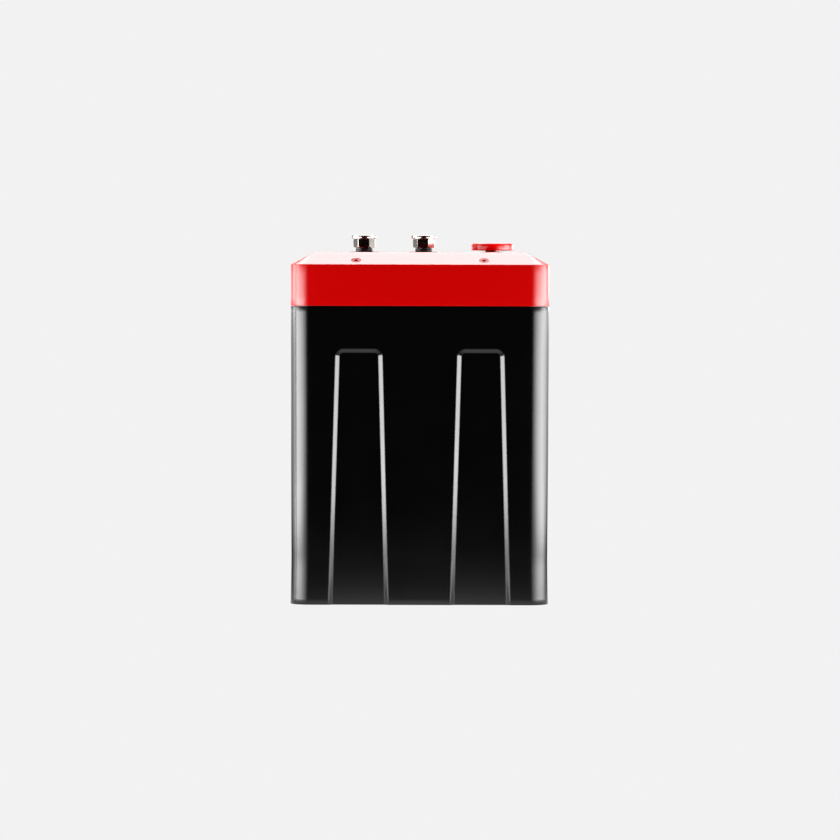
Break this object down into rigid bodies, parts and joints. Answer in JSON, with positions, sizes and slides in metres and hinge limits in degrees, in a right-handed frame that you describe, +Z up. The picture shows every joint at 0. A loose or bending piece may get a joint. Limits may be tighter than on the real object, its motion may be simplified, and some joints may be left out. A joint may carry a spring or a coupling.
{
  "type": "battery pack",
  "caption": "Upright lithium battery pack: black drafted tub with tapered recesses, red bevelled lid, screw terminals and a push button.",
  "frame": {"origin": "middle of the underside, on the surface the pack stands on", "axes": "+Z up, front face towards -Y, +X to the right seen from the front"},
  "size_m": [0.1706, 0.146, 0.2441],
  "materials": {
    "case_black": "satin moulded, fine grain",
    "lid_red": "satin moulded",
    "gasket_rubber": "soft",
    "black_nylon": "moulded",
    "screw_paint": "red coated",
    "insert_brass": "knurled",
    "grey_nylon": "moulded",
    "insulating_sheet": "laminate",
    "black_lead": "silicone",
    "red_lead": "silicone",
    "cell_sleeve": "blue film sleeve over an aluminium can",
    "foam": "foam",
    "copper": "bare copper",
    "circuit_board": "solder mask",
    "aluminium": "extruded",
    "steel": "plain",
    "screw_steel": "black oxide",
    "nickel": "bright nickel plate",
    "button_red": "glossy moulded"
  },
  "bodies": {
    "case": {"base_pad": "foam", "board_heatsink": "aluminium", "board_negative_lead": "black_lead", "board_screw_1": "steel", "board_screw_2": "steel", "board_screw_3": "steel", "board_screw_4": "steel", "busbar_1": "copper", "busbar_2": "copper", "busbar_3": "copper", "button_spring": "steel", "case_tub": "case_black", "cell_1": "cell_sleeve", "cell_2": "cell_sleeve", "cell_3": "cell_sleeve", "cell_4": "cell_sleeve", "cell_negative_lead": "black_lead", "cell_separator_1": "insulating_sheet", "cell_separator_2": "insulating_sheet", "cell_separator_3": "insulating_sheet", "control_board": "circuit_board", "end_pad_left": "foam", "end_pad_right": "foam", "insert_back_left": "insert_brass", "insert_back_right": "insert_brass", "insert_front_left": "insert_brass", "insert_front_right": "insert_brass", "lid": "lid_red", "lid_gasket": "gasket_rubber", "lid_screw_back_left": "screw_paint", "lid_screw_back_right": "screw_paint", "lid_screw_front_left": "screw_paint", "lid_screw_front_right": "screw_paint", "negative_tab": "copper", "positive_lead": "red_lead", "positive_tab": "copper", "retainer_frame": "grey_nylon", "signal_connector": "grey_nylon", "switch_body": "black_nylon", "switch_lead": "black_lead", "switch_nut": "grey_nylon", "terminal_bush_1": "black_nylon", "terminal_bush_2": "black_nylon", "terminal_lug_1": "copper", "terminal_lug_2": "copper", "terminal_nut_1": "nickel", "terminal_nut_2": "nickel", "terminal_post_1": "nickel", "terminal_post_2": "nickel", "top_insulator": "insulating_sheet"},
    "button": {"push_button": "button_red"},
    "washer_1": {"terminal_washer_1": "nickel"},
    "washer_2": {"terminal_washer_2": "nickel"},
    "screw_1": {"terminal_screw_1": "screw_steel"},
    "screw_2": {"terminal_screw_2": "screw_steel"}
  },
  "joints": [
    {"name": "button_press", "type": "slide", "parent": "case", "child": "button", "axis": [0, 0, -1], "range_m": [0, 0.0015], "stiffness_N_per_m": 600, "springref_m": -0.003, "deforming": ["button_spring"]},
    {"name": "terminal_1_lift", "type": "slide", "parent": "case", "child": "washer_1", "axis": [0, 0, 1], "range_m": [0, 0.004]},
    {"name": "terminal_1_turn", "type": "hinge", "parent": "washer_1", "child": "screw_1", "pos_m": [-0.0376, 0, 0.2441], "axis": [0, 0, 1], "range_deg": [0, 1450]},
    {"name": "terminal_2_lift", "type": "slide", "parent": "case", "child": "washer_2", "axis": [0, 0, 1], "range_m": [0, 0.004]},
    {"name": "terminal_2_turn", "type": "hinge", "parent": "washer_2", "child": "screw_2", "pos_m": [0.0024, 0, 0.2441], "axis": [0, 0, 1], "range_deg": [0, 1450]}
  ],
  "couplings": [
    {"joint": "terminal_1_turn", "follows": "terminal_1_lift", "rad_per_m": 6283.2},
    {"joint": "terminal_2_turn", "follows": "terminal_2_lift", "rad_per_m": 6283.2}
  ]
}
